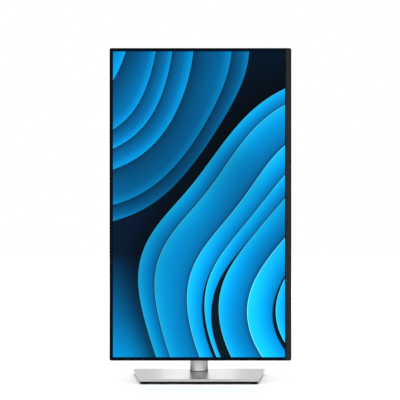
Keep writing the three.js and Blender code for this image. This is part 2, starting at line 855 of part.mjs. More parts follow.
const ARM_THICKNESS = 10;
const ARM_HALF_HEIGHT = 20;
const CARRIAGE_FRONT = 52.5;
const CARRIAGE_BACK = 62.5;
const CARRIAGE_HALF = 9.3;
const CARRIAGE_TOP = 18;
const CARRIAGE_BOTTOM = -45;
const FORK_BOTTOM = -70;
const DRUM_Y = 55.5;
const DRUM_Z = -60;
const DRUM_RADIUS = 8.6;
const DRUM_HALF = 6.1;
const AXLE_RADIUS = 2.2;

// Drawn about the tilt shaft's axis.
function liftArm() {
  const end = CARRIAGE_FRONT - GAP - TILT_Y;
  const shape = new THREE.Shape();
  shape.moveTo(2, -8);
  shape.lineTo(20, -ARM_HALF_HEIGHT);
  shape.lineTo(end, -ARM_HALF_HEIGHT);
  shape.lineTo(end, ARM_HALF_HEIGHT);
  shape.lineTo(20, ARM_HALF_HEIGHT);
  shape.lineTo(2, 8);
  shape.closePath();
  return cut(
    join(
      sideways(shape, -ARM_THICKNESS / 2, ARM_THICKNESS / 2),
      rodX(BARREL_RADIUS, -BARREL_HALF, BARREL_HALF, 0, 0, 24),
    ),
    rodX(SHAFT_RADIUS + GAP, -BARREL_HALF - 1, BARREL_HALF + 1),
  );
}

// A moulded sleeve around the arm, between the hinge and the column.
function armCover() {
  const y0 = 2.5 - TILT_Y;
  const y1 = COLUMN_FRONT - 1.1 - TILT_Y;
  return facing(frameShape(centredRectangle(26, 52, 8), centredRectangle(22, 48, 6)), y0, y1);
}

// Drawn about the pivot's height, at the column: a sliding block, and below it a fork with the
// axle that the lift spring's drum turns on.
function liftCarriage() {
  const block = box(
    -CARRIAGE_HALF,
    CARRIAGE_HALF,
    CARRIAGE_FRONT,
    CARRIAGE_BACK,
    CARRIAGE_BOTTOM,
    CARRIAGE_TOP,
  );
  const fork = [-1, 1].map((side) => {
    const x = side * (DRUM_HALF + 0.4);
    const outer = side * CARRIAGE_HALF;
    return box(
      Math.min(x, outer),
      Math.max(x, outer),
      CARRIAGE_FRONT,
      CARRIAGE_BACK,
      FORK_BOTTOM,
      CARRIAGE_BOTTOM + 1,
    );
  });
  const axle = rodX(AXLE_RADIUS, -DRUM_HALF - 1, DRUM_HALF + 1, DRUM_Y, DRUM_Z, 12);
  return join(block, ...fork, axle);
}

function liftSpringDrum() {
  return cut(
    rodX(DRUM_RADIUS, -DRUM_HALF, DRUM_HALF, DRUM_Y, DRUM_Z, 32),
    rodX(AXLE_RADIUS + GAP, -DRUM_HALF - 1, DRUM_HALF + 1, DRUM_Y, DRUM_Z, 12),
  );
}

// ------------------------------------------------------------------ stand: column
// Drawn about the column's axis.

const STRIP_FRONT = DRUM_Y + DRUM_RADIUS + GAP - COLUMN_Y;
const STRIP_TOP = 356;
const RAIL_BOTTOM = 112;
const CORE_HALF = 12.6;
const CORE_SHEET = 1.2;
const CORE_BACK = 66.2 - COLUMN_Y;
const CORE_FRONT = 50 - COLUMN_Y;
const CORE_BOTTOM = 22;
const CORE_TOP = 358;
const NECK_RADIUS = 12.5;
const NECK_BOTTOM = BASE_TOP - BASE_SKIN;
const PLUG_RADIUS = 10.8; // the neck's upper end, inside the column
const PLUG_TOP = 21;
const SPIGOT_RADIUS = 5.5; // the neck's lower end, through the base plate
const BOLT_RADIUS = 2.8;
const WASHER_THICKNESS = 1;

function columnShell() {
  const outer = centredRectangle(COLUMN_WIDTH, COLUMN_DEPTH, COLUMN_CORNER);
  const inner = centredRectangle(
    COLUMN_WIDTH - 2 * COLUMN_WALL,
    COLUMN_DEPTH - 2 * COLUMN_WALL,
    COLUMN_CORNER - COLUMN_WALL,
  );
  const slot = box(
    -SLOT_WIDTH / 2,
    SLOT_WIDTH / 2,
    -COLUMN_DEPTH / 2 - 1,
    -COLUMN_DEPTH / 2 + COLUMN_WALL + 1,
    SLOT_BOTTOM,
    COLUMN_TOP + 1,
  );
  return cut(upright(frameShape(outer, inner), COLUMN_BOTTOM, COLUMN_TOP, SMOOTH), slot);
}

function columnCap() {
  const clearance = COLUMN_WALL + 0.4;
  const lid = centredRectangle(COLUMN_WIDTH, COLUMN_DEPTH, COLUMN_CORNER);
  const plug = centredRectangle(
    COLUMN_WIDTH - 2 * clearance,
    COLUMN_DEPTH - 2 * clearance,
    COLUMN_CORNER - clearance,
  );
  return join(
    upright(lid, COLUMN_TOP, COLUMN_TOP + 2.5, SMOOTH),
    upright(plug, COLUMN_TOP - 3, COLUMN_TOP + 1, SMOOTH),
  );
}

// A steel channel inside the column, open towards the head.
function columnCore() {
  const half = CORE_HALF;
  const sheet = CORE_SHEET;
  return cut(
    box(-half, half, CORE_FRONT, CORE_BACK, CORE_BOTTOM, CORE_TOP),
    box(-half + sheet, half - sheet, CORE_FRONT - 1, CORE_BACK - sheet, CORE_BOTTOM - 1, CORE_TOP + 1),
  );
}

// A shallow channel section that the carriage runs between.
function slideRail(side) {
  const back = CORE_HALF - CORE_SHEET - GAP;
  const front = CARRIAGE_HALF + GAP;
  const y0 = 51.6 - COLUMN_Y;
  const y1 = 63.4 - COLUMN_Y;
  const lip = 1.5;
  const shape = new THREE.Shape();
  shape.moveTo(front, y0);
  shape.lineTo(back, y0);
  shape.lineTo(back, y1);
  shape.lineTo(front, y1);
  shape.lineTo(front, y1 - lip);
  shape.lineTo(back - 0.7, y1 - lip);
  shape.lineTo(back - 0.7, y0 + lip);
  shape.lineTo(front, y0 + lip);
  shape.closePath();
  const rail = upright(shape, RAIL_BOTTOM, CORE_TOP - 1);
  return side > 0 ? rail : rail.rotateZ(Math.PI).translate(0, y0 + y1, 0);
}

function liftSpringStrip() {
  const bottom = PIVOT_HEIGHT + DRUM_Z;
  return box(-5, 5, STRIP_FRONT, STRIP_FRONT + 0.3, bottom, STRIP_TOP);
}

// A loop behind the column that holds the cables, with a mouth to press them in through.
function cableClip() {
  const bottom = 118;
  const top = 130;
  const y0 = COLUMN_DEPTH / 2 + 0.2;
  const y1 = y0 + 10;
  const loop = frameShape(
    roundedRectangle(-15, 15, y0, y1, 3),
    roundedRectangle(-12.6, 12.6, y0 + 2.2, y1 - 2, 1.5),
  );
  return cut(upright(loop, bottom, top), box(3, 8, y1 - 3, y1 + 1, bottom - 1, top + 1));
}

function swivelNeck() {
  const bore = BOLT_RADIUS + GAP;
  const profile = [
    [bore, PLATE_BOTTOM],
    [SPIGOT_RADIUS, PLATE_BOTTOM],
    [SPIGOT_RADIUS, NECK_BOTTOM],
    [NECK_RADIUS, NECK_BOTTOM],
    [NECK_RADIUS, COLUMN_BOTTOM],
    [PLUG_RADIUS, COLUMN_BOTTOM],
    [PLUG_RADIUS, PLUG_TOP],
    [bore, PLUG_TOP],
    [bore, PLATE_BOTTOM],
  ];
  return turnedZ(profile, 32);
}

function swivelWasher() {
  const bore = BOLT_RADIUS + GAP;
  const top = PLATE_BOTTOM - GAP;
  const bottom = top - WASHER_THICKNESS;
  return turnedZ([[bore, bottom], [11, bottom], [11, top], [bore, top], [bore, bottom]], 24);
}

function swivelBolt() {
  const headTop = PLATE_BOTTOM - WASHER_THICKNESS - 2 * GAP;
  return join(
    rodZ(5, headTop - 1.1, headTop, 0, 0, 6),
    rodZ(BOLT_RADIUS, headTop - 0.2, PLUG_TOP - 2, 0, 0, 12),
  );
}

// ------------------------------------------------------------------ base
// Drawn in the object's own frame.

function hole(radius, z0, z1) {
  return rodZ(radius, z0, z1, STAND_X, COLUMN_Y, 32);
}

function baseCover() {
  const edge = 0.6;
  const options = {
    curveSegments: 3,
    bevelEnabled: true,
    bevelThickness: edge,
    bevelSize: edge,
    bevelOffset: -edge,
    bevelSegments: 2,
  };
  const slab = upright(basePlan(0), COVER_BOTTOM + edge, BASE_TOP - edge, options);
  const pocket = upright(basePlan(BASE_SKIRT), COVER_BOTTOM - 1, NECK_BOTTOM);
  return cut(slab, pocket, hole(NECK_RADIUS + GAP, COVER_BOTTOM, BASE_TOP + 1));
}

function basePlate() {
  return cut(
    upright(basePlan(BASE_SKIRT + GAP), PLATE_BOTTOM, NECK_BOTTOM - GAP),
    hole(SPIGOT_RADIUS + GAP, PLATE_BOTTOM - 1, NECK_BOTTOM + 1),
  );
}

// A shallow tray that closes the base from below and holds the plate.
function baseUnderside() {
  return cut(
    upright(basePlan(BASE_SKIRT - 1), UNDERSIDE_BOTTOM, COVER_BOTTOM),
    upright(basePlan(BASE_SKIRT), PLATE_BOTTOM - GAP, COVER_BOTTOM + 1),
    hole(14, UNDERSIDE_BOTTOM - 1, COVER_BOTTOM + 1),
  );
}

function foot(x, y) {
  return rodZ(FOOT_RADIUS, 0, UNDERSIDE_BOTTOM, STAND_X + x, y, 24);
}

// ------------------------------------------------------------------ assembly

const displayPieces = [
  piece("front_rim", frontRim(), BLACK_PLASTIC),
  piece("chin_strip", chinStrip(), CHIN_GREY),
  piece("lcd_cell", lcdCell(), DARK_GLASS),
  piece("optical_films", panelSheet(FILM_FRONT, FILM_THICKNESS), WHITE_FILM),
  piece("light_guide_plate", panelSheet(GUIDE_FRONT, GUIDE_THICKNESS), CLEAR_ACRYLIC),
  piece("reflector_sheet", panelSheet(REFLECTOR_FRONT, REFLECTOR_THICKNESS), WHITE_FILM),
  piece("led_light_bar", ledLightBar(), WHITE_FILM),
  piece("panel_tray", panelTray(), STEEL),
  piece("timing_board", timingBoard(), BOARD_GREEN),
  piece("shield_chassis", shieldChassis(), STEEL),
  piece("main_board", mainBoard(), BOARD_GREEN),
  piece("power_board", powerBoard(), BOARD_GREEN),
  piece("key_board", keyBoard(), BOARD_GREEN),
  ...Object.entries(SOCKETS).map(([name, size]) => {
    const finish = name === "ac_inlet" ? BLACK_PLASTIC : STEEL;
    return piece(name, socketBody(size), finish);
  }),
  piece("rear_cover", rearCover(), BLACK_PLASTIC),
  piece("mount_receiver", mountReceiver(), STEEL),
  ...receiverScrewPlaces().map(([x, z], i) => {
    return piece(`receiver_screw_${i + 1}`, receiverScrew(x, z), STEEL);
  }),
  piece("quick_release_plate", quickReleasePlate(), STEEL),
  piece("pivot_hub", pivotHub(), STEEL),
  piece("pivot_nut", pivotNut(), STEEL),
  piece("release_button", releaseButton(), BLACK_PLASTIC),
  piece("release_latch", releaseLatch(), STEEL),
  piece("power_button", powerButton(), BLACK_PLASTIC),
  piece("joystick_gimbal", joystickGimbal(), BLACK_PLASTIC),
  piece("joystick_stem", joystickStem(), BLACK_PLASTIC),
  piece("joystick_cap", joystickCap(), BLACK_PLASTIC),
];

const tiltPieces = [
  piece("tilt_bracket", tiltBracket(), STEEL),
  piece("friction_washer", frictionWasher(), SPRING_STEEL),
  piece("tilt_shaft", tiltShaft(), STEEL),
  piece("tilt_nut", tiltNut(), STEEL),
  piece("tilt_spring_left", tiltSpring(-1), SPRING_STEEL),
  piece("tilt_spring_right", tiltSpring(1), SPRING_STEEL),
  piece("lift_arm", liftArm(), ALUMINIUM),
  piece("arm_cover", armCover(), BLACK_PLASTIC),
];

const liftPieces = [
  piece("lift_carriage", liftCarriage(), BLACK_PLASTIC),
  piece("lift_spring_drum", liftSpringDrum(), SPRING_STEEL),
];

const columnPieces = [
  piece("column_shell", columnShell(), SILVER),
  piece("column_cap", columnCap(), SILVER),
  piece("column_core", columnCore(), STEEL),
  piece("slide_rail_left", slideRail(-1), STEEL),
  piece("slide_rail_right", slideRail(1), STEEL),
  piece("lift_spring_strip", liftSpringStrip(), SPRING_STEEL),
  piece("cable_clip", cableClip(), BLACK_PLASTIC),
  piece("swivel_neck", swivelNeck(), BLACK_PLASTIC),
  piece("swivel_washer", swivelWasher(), STEEL),
  piece("swivel_bolt", swivelBolt(), STEEL),
];

const FRONT_FEET_Y = BASE_FRONT + 8;
const BACK_FEET_Y = BASE_BACK - 12;

const basePieces = [
  piece("base_cover", baseCover(), SILVER),
  piece("base_plate", basePlate(), STEEL),
  piece("base_underside", baseUnderside(), BLACK_PLASTIC),
  piece("foot_front_left", foot(-FOOT_SPREAD, FRONT_FEET_Y), RUBBER),
  piece("foot_front_middle", foot(0, FRONT_FEET_Y), RUBBER),
  piece("foot_front_right", foot(FOOT_SPREAD, FRONT_FEET_Y), RUBBER),
  piece("foot_back_left", foot(-FOOT_SPREAD, BACK_FEET_Y), RUBBER),
  piece("foot_back_right", foot(FOOT_SPREAD, BACK_FEET_Y), RUBBER),
];

const head = groupAt(STAND_X, SCREEN_Y, PIVOT_HEIGHT, ...displayPieces);
head.rotation.y = -Math.PI / 2;

const monitor = new THREE.Group();
monitor.add(
  head,
  groupAt(STAND_X, TILT_Y, PIVOT_HEIGHT, ...tiltPieces),
  groupAt(STAND_X, 0, PIVOT_HEIGHT, ...liftPieces),
  groupAt(STAND_X, COLUMN_Y, 0, ...columnPieces),
  ...basePieces,
);

export default monitor;
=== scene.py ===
"""Looks, light and camera for a computer monitor that stands in portrait on a silver stand.

Everything is in metres, in the CAD frame: +Z is up, the screen faces -Y, and the desk is at zero.
Pieces of the head are drawn as the head hangs in landscape (X along the long side, Z up, Y the
depth behind the rim's front) and are turned into place by HEAD.
"""

import json
import math

import bmesh
import bpy
from mathutils import Matrix, Vector

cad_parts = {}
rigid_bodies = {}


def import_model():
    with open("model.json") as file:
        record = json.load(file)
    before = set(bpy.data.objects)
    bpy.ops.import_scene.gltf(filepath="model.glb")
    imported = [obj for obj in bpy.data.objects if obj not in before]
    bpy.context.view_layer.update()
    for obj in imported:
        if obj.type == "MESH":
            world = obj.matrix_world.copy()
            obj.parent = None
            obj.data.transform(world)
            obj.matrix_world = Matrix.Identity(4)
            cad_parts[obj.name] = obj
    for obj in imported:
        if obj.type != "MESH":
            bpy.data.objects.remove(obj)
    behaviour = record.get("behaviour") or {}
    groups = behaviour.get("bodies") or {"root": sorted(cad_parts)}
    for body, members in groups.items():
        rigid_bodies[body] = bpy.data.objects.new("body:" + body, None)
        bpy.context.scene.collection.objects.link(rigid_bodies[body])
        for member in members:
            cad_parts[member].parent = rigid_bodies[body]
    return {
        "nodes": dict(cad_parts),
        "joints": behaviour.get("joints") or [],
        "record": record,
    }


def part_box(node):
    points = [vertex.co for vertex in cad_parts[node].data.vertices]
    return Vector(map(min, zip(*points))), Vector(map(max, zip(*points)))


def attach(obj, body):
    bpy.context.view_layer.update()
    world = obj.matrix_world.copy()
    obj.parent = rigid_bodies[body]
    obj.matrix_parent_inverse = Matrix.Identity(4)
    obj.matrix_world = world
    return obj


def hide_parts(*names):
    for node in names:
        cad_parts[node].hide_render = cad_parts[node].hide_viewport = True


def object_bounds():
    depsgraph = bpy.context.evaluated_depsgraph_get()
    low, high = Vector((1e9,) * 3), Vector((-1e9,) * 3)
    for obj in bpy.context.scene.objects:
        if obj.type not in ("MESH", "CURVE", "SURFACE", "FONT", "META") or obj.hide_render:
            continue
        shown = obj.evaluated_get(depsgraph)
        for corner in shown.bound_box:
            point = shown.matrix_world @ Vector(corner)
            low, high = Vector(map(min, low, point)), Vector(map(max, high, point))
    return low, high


for leftover in list(bpy.data.objects):
    bpy.data.objects.remove(leftover)

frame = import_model()
NODES = frame["nodes"]
CAD_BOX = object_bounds()
MM = 0.001

# ------------------------------------------------------------------ sizes and places

ACTIVE_LONG = 0.52704  # the picture: 23.8 inches at 16:9
ACTIVE_SHORT = 0.29646

JOINTS = {joint["name"]: joint for joint in frame["joints"]}
PIVOT = Vector(JOINTS["panel_pivot"]["pos_m"])
SCREEN_Y = CAD_BOX[0].y
HEAD = Matrix.Translation((PIVOT.x, SCREEN_Y, PIVOT.z)) @ Matrix.Rotation(math.radians(-90), 4, "Y")


# ------------------------------------------------------------------ shader helper

class Shader:
    """A material's node tree, with short ways to add nodes and join them."""

    def __init__(self, name):
        self.material = bpy.data.materials.new(name)
        self.material.use_nodes = True
        self.tree = self.material.node_tree
        self.surface = self.tree.nodes["Principled BSDF"]
        self.coordinates = None

    def put(self, socket, value):
        """Links value to the socket if it is another node's output, or else sets it."""
        if isinstance(value, bpy.types.NodeSocket):
            self.tree.links.new(value, socket)
        else:
            socket.default_value = value

    def node(self, kind, settings=None, **inputs):
        made = self.tree.nodes.new("ShaderNode" + kind)
        for key, value in (settings or {}).items():
            setattr(made, key, value)
        for key, value in inputs.items():
            self.put(made.inputs[key], value)
        return made

    def look(self, **inputs):
        """Sets the surface's own sockets, such as Base_Color or Roughness."""
        for key, value in inputs.items():
            self.put(self.surface.inputs[key.replace("_", " ")], value)

    def place(self):
        """The point on the object, in its own frame."""
        if self.coordinates is None:
            self.coordinates = self.node("TexCoord").outputs["Object"]
        return self.coordinates

    def math(self, operation, a, b=0.0, c=0.0, clamp=False):
        made = self.tree.nodes.new("ShaderNodeMath")
        made.operation = operation
        made.use_clamp = clamp
        for socket, value in zip(made.inputs, (a, b, c)):
            self.put(socket, value)
        return made.outputs[0]

    def stretched(self, x, y, z):
        """The object's coordinates, scaled along each axis."""
        return self.node("Mapping", Vector=self.place(), Scale=(x, y, z)).outputs[0]

    def noise(self, vector, scale, detail=2.0, roughness=0.5):
        made = self.node("TexNoise", Vector=vector, Scale=scale, Detail=detail, Roughness=roughness)
        return made.outputs["Fac"]

    def cells(self, vector, scale, output="Distance", feature="F1"):
        made = self.node("TexVoronoi", {"feature": feature}, Vector=vector, Scale=scale)
        return made.outputs[output]

    def span(self, value, from_low, from_high, to_low, to_high, smooth=False):
        """Maps one range of numbers onto another, with its ends held."""
        made = self.node("MapRange", {"interpolation_type": "SMOOTHSTEP" if smooth else "LINEAR"})
        for socket, number in zip(made.inputs, (value, from_low, from_high, to_low, to_high)):
            self.put(socket, number)
        return made.outputs[0]

    def mix(self, amount, first, second, blend="MIX"):
        made = self.node("Mix", {"data_type": "RGBA", "blend_type": blend})
        self.put(made.inputs[0], amount)
        self.put(made.inputs[6], first)
        self.put(made.inputs[7], second)
        return made.outputs[2]

    def ramp(self, value, stops):
        """A colour ramp of (place, colour) stops."""
        made = self.node("ValToRGB", Fac=value)
        band = made.color_ramp
        while len(band.elements) < len(stops):
            band.elements.new(0.5)
        for element, (where, colour) in zip(band.elements, stops):
            element.position = where
            element.color = colour
        return made.outputs[0]

    def bump(self, height, distance, strength=1.0, normal=None):
        made = self.node("Bump", Height=height, Distance=distance, Strength=strength)
        if normal is not None:
            self.put(made.inputs["Normal"], normal)
        return made.outputs[0]


def grey(level):
    return (level, level, level, 1.0)


# ------------------------------------------------------------------ materials

STREAKS_ACROSS = 1400.0  # noise scales: fine across the silver's streaks, coarse along them
STREAKS_ALONG = 9.0


def brushed_silver(name, along, level, rough, metallic):
    """Satin silver with fine streaks along one axis, slightly uneven in tone and gloss."""
    s = Shader(name)
    scales = [STREAKS_ALONG if axis == along else STREAKS_ACROSS for axis in "XYZ"]
    streaks = s.noise(s.stretched(*scales), 1.0, 3.0, 0.6)
    broad = s.noise(s.place(), 22.0, 2.0)
    tone = s.span(streaks, 0.3, 0.7, level * 0.94, level * 1.03)
    tone = s.math("MULTIPLY", tone, s.span(broad, 0.3, 0.7, 0.985, 1.01))
    colour = s.node("CombineColor", Red=tone, Green=s.math("MULTIPLY", tone, 1.002))
    s.put(colour.inputs["Blue"], s.math("MULTIPLY", tone, 1.012))
    roughness = s.math("ADD", s.span(streaks, 0.3, 0.7, rough - 0.05, rough + 0.06),
                       s.span(broad, 0.35, 0.65, -0.008, 0.012))
    s.look(Base_Color=colour.outputs[0], Metallic=metallic, Roughness=roughness,
           Normal=s.bump(streaks, 0.00002, 0.25))
    return s.material


def moulded_plastic(name, colour, rough=0.5, grain=2600.0, depth=0.00003, specular=0.4):
    """Spark-eroded plastic: a fine pebble texture, slightly uneven in tone and gloss."""
    s = Shader(name)
    pebbles = s.cells(s.place(), grain, feature="SMOOTH_F1")
    cloud = s.noise(s.place(), 30.0, 3.0)
    fleck = s.noise(s.place(), grain * 0.6, 2.0)
    light = [channel * 1.25 for channel in colour[:3]] + [1.0]
    dark = [channel * 0.92 for channel in colour[:3]] + [1.0]
    base = s.mix(s.span(cloud, 0.35, 0.65, 0.0, 0.4), dark, light)
    base = s.mix(s.span(fleck, 0.4, 0.7, 0.0, 0.6), base, light)
    rough_noise = s.span(cloud, 0.3, 0.7, rough - 0.015, rough + 0.02)
    s.look(Base_Color=base, Roughness=rough_noise, Normal=s.bump(pebbles, depth, 0.5),
           Specular_IOR_Level=specular)
    return s.material


def chin_plastic():
    """Dark grey satin plastic with a hairline finish along the strip."""
    s = Shader("chin_plastic")
    lines = s.noise(s.stretched(2200.0, 2200.0, 14.0), 1.0, 3.0, 0.6)
    tone = s.span(lines, 0.3, 0.7, 0.006, 0.0095)
    colour = s.node("CombineColor", Red=tone, Green=tone, Blue=s.math("MULTIPLY", tone, 1.05))
    s.look(Base_Color=colour.outputs[0], Roughness=s.span(lines, 0.3, 0.7, 0.33, 0.45),
           Normal=s.bump(lines, 0.00001, 0.3), Specular_IOR_Level=0.2)
    return s.material


def metal(name, colour, rough, spangle=0.0, grain=900.0, dent=0.00001):
    """Plain metal with a fine grain. spangle adds the crystal patches of zinc plating."""
    s = Shader(name)
    fine = s.noise(s.place(), grain, 3.0)
    patches = s.cells(s.place(), 260.0, "Color")
    patch = s.math("MULTIPLY", s.node("SeparateColor", Color=patches).outputs[0], spangle)
    dark = [channel * 0.88 for channel in colour[:3]] + [1.0]
    base = s.mix(s.math("ADD", s.span(fine, 0.3, 0.7, 0.0, 0.5), patch, clamp=True), colour, dark)
    cloud = s.noise(s.place(), 40.0, 3.0)
    roughness = s.math("ADD", s.span(fine, 0.3, 0.7, rough - 0.05, rough + 0.06),
                       s.math("MULTIPLY", s.math("SUBTRACT", cloud, 0.5), 0.12))
    s.look(Base_Color=base, Metallic=1.0, Roughness=roughness, Normal=s.bump(fine, dent, 0.4))
    return s.material


def rubber():
    """Matt black rubber with a little dust."""
    s = Shader("foot_rubber")
    dust = s.noise(s.place(), 700.0, 4.0)
    base = s.mix(s.span(dust, 0.4, 0.8, 0.0, 0.6), grey(0.004), grey(0.012))
    s.look(Base_Color=base, Roughness=s.span(dust, 0.3, 0.7, 0.75, 0.95),
           Normal=s.bump(dust, 0.00005, 0.5), Specular_IOR_Level=0.1)
    return s.material


def circuit_board():
    """Green solder mask over a pattern of tracks, with a scatter of pale component tops."""
    s = Shader("circuit_board")
    tracks = s.node("TexBrick", {"offset": 0.37, "squash": 1.0}, Vector=s.place(),
                    Color1=grey(0.0), Color2=grey(0.25), Mortar=grey(1.0), Scale=420.0)
    s.put(tracks.inputs["Mortar Size"], 0.03)
    parts = s.cells(s.place(), 190.0)
    mask = s.mix(tracks.outputs["Color"], (0.006, 0.075, 0.03, 1.0), (0.03, 0.19, 0.07, 1.0))
    base = s.mix(s.math("LESS_THAN", parts, 0.18), mask, (0.35, 0.34, 0.3, 1.0))
    s.look(Base_Color=base, Roughness=s.span(parts, 0.0, 0.6, 0.35, 0.5),
           Normal=s.bump(parts, 0.0002, 0.4))
    return s.material


def white_film():
    """The pearly sheets behind the picture."""
    s = Shader("white_film")
    pearl = s.noise(s.place(), 1500.0, 2.0)
    base = s.mix(pearl, (0.78, 0.78, 0.76, 1.0), (0.9, 0.9, 0.88, 1.0))
    s.look(Base_Color=base, Roughness=s.span(pearl, 0.3, 0.7, 0.4, 0.6),
           Normal=s.bump(pearl, 0.00001, 0.3))
    return s.material


def clear_acrylic():
    """The light guide, with its grid of etched dots."""
    s = Shader("clear_acrylic")
    dots = s.cells(s.place(), 900.0)
    base = s.mix(s.math("LESS_THAN", dots, 0.3), (0.72, 0.8, 0.82, 1.0), (0.95, 0.97, 0.97, 1.0))
    s.look(Base_Color=base, Roughness=s.span(dots, 0.0, 0.5, 0.5, 0.12))
    return s.material


# ------------------------------------------------------------------ the picture on the screen

# the picture's colours, in linear RGB
NAVY = (0.001, 0.012, 0.045, 1.0)
INK = (0.0015, 0.008, 0.014, 1.0)
DEEP = (0.0, 0.05, 0.16, 1.0)
MIDDLE = (0.0, 0.19, 0.50, 1.0)
AZURE = (0.0, 0.38, 0.90, 1.0)
CYAN = (0.005, 0.56, 1.0, 1.0)
GLINT = (0.25, 0.82, 1.0, 1.0)
SHADED = (0.0, 0.085, 0.22, 1.0)


def folds(s, x, y, centre, outer, width, drift):
    """Nested ribbons round a centre.

    Returns how many ribbons in from the outer rim a point is, and how far it is across its own ribbon.
    """
    dx = s.math("SUBTRACT", x, centre[0])
    dy = s.math("SUBTRACT", y, centre[1])
    distance = s.math("SQRT", s.math("ADD", s.math("MULTIPLY", dx, dx), s.math("MULTIPLY", dy, dy)))
    point = s.node("CombineXYZ", X=x, Y=y, Z=drift).outputs[0]
    wander = s.math("MULTIPLY", s.math("SUBTRACT", s.noise(point, 0.9, 0.0), 0.5), 0.42)
    inward = s.math("SUBTRACT", outer, s.math("ADD", distance, wander))
    even = s.math("DIVIDE", inward, width)
    swell = s.math("MULTIPLY", s.math("SINE", s.math("MULTIPLY", even, 1.9)), 0.28)
    count = s.math("ADD", even, swell)
    return count, s.math("FRACT", count)


def tinted(s, colour, level):
    """A colour made lighter or darker by a level."""
    tone = s.node("CombineColor", Red=level, Green=level, Blue=level).outputs[0]
    return s.mix(1.0, colour, tone, "MULTIPLY")


def lot(s, count):
    """A number from 0 to 1 that belongs to a ribbon."""
    return s.node("TexWhiteNoise", {"noise_dimensions": "1D"}, W=s.math("FLOOR", count)).outputs[0]


def ribbon_colour(s, x, y, count, across, drift, stops):
    """The colour across each ribbon, with some ribbons and stretches lighter than others."""
    each = s.span(lot(s, count), 0.0, 1.0, 0.88, 1.06)
    point = s.node("CombineXYZ", X=x, Y=y, Z=drift).outputs[0]
    stretch = s.span(s.noise(point, 1.5, 1.0), 0.3, 0.7, 0.74, 1.15)
    return tinted(s, s.ramp(across, stops), s.math("MULTIPLY", each, stretch))


def screen_picture(s, x, y):
    """A plain abstract picture of blue ribbons. x and y are in picture widths from its lower left."""
    sky = s.ramp(s.span(y, 0.0, 1.78, 0.0, 1.0),
                 [(0.0, AZURE), (0.14, MIDDLE), (0.34, NAVY), (0.7, INK), (1.0, DEEP)])
    sky = tinted(s, sky, s.span(x, 0.1, 0.75, 1.0, 0.1, smooth=True))
    upper, upper_across = folds(s, x, y, centre=(-0.55, 2.05), outer=1.33, width=0.118, drift=3.1)
    upper_colour = ribbon_colour(s, x, y, upper, upper_across, drift=7.7, stops=[
        (0.0, CYAN), (0.02, AZURE), (0.35, MIDDLE), (0.85, SHADED), (1.0, DEEP)])
    upper_colour = tinted(s, upper_colour, s.span(upper, 0.0, 4.5, 0.72, 1.1))
    lower, lower_across = folds(s, x, y, centre=(1.64, 0.30), outer=1.43, width=0.128, drift=5.4)
    lower_colour = ribbon_colour(s, x, y, lower, lower_across, drift=1.9, stops=[
        (0.0, GLINT), (0.02, CYAN), (0.4, AZURE), (0.88, MIDDLE), (1.0, SHADED)])
    lower_colour = tinted(s, lower_colour, s.span(lower, 0.0, 5.0, 0.8, 1.25))
    parting = s.math("MULTIPLY", s.span(y, 0.0, 0.8, 0.9, 0.0, smooth=True),
                     s.span(lot(s, s.math("ADD", lower, 40.0)), 0.35, 0.9, 0.0, 1.0))
    open_edge = s.math("ADD", lower_across, s.math("MULTIPLY", parting, 0.8))
    between = s.span(open_edge, 0.98, 1.04, 0.0, 1.0)
    lower_colour = s.mix(between, lower_colour, INK)
    shade = s.span(lower, -2.4, 0.0, 1.0, 0.15, smooth=True)
    behind = s.mix(s.span(upper, 0.0, 0.01, 0.0, 1.0), sky, upper_colour)
    behind = tinted(s, behind, shade)
    return s.mix(s.span(lower, 0.0, 0.01, 0.0, 1.0), behind, lower_colour)


def screen_glass():
    """Anti-glare glass: black border, and inside it the lit picture."""
    s = Shader("screen_glass")
    place = s.node("SeparateXYZ", Vector=s.place())
    from_left = s.math("SUBTRACT", place.outputs["X"], PIVOT.x - ACTIVE_SHORT / 2)
    from_foot = s.math("SUBTRACT", place.outputs["Z"], PIVOT.z - ACTIVE_LONG / 2)
    side = s.math("MINIMUM", from_left, s.math("SUBTRACT", ACTIVE_SHORT, from_left))
    end = s.math("MINIMUM", from_foot, s.math("SUBTRACT", ACTIVE_LONG, from_foot))
    inside = s.span(s.math("MINIMUM", side, end), -0.2 * MM, 0.2 * MM, 0.0, 1.0)
    picture = screen_picture(s, s.math("DIVIDE", from_left, ACTIVE_SHORT),
                             s.math("DIVIDE", from_foot, ACTIVE_SHORT))
    haze = s.noise(s.place(), 2500.0, 1.0)
    s.look(Base_Color=s.mix(haze, (0.0006, 0.002, 0.004, 1.0), (0.001, 0.003, 0.006, 1.0)),
           Roughness=s.span(haze, 0.3, 0.7, 0.38, 0.46), Normal=s.bump(haze, 0.000005, 0.3),
           Emission_Color=s.mix(inside, (0.0, 0.002, 0.006, 1.0), picture), Emission_Strength=1.0,
           Specular_IOR_Level=0.02)
    return s.material


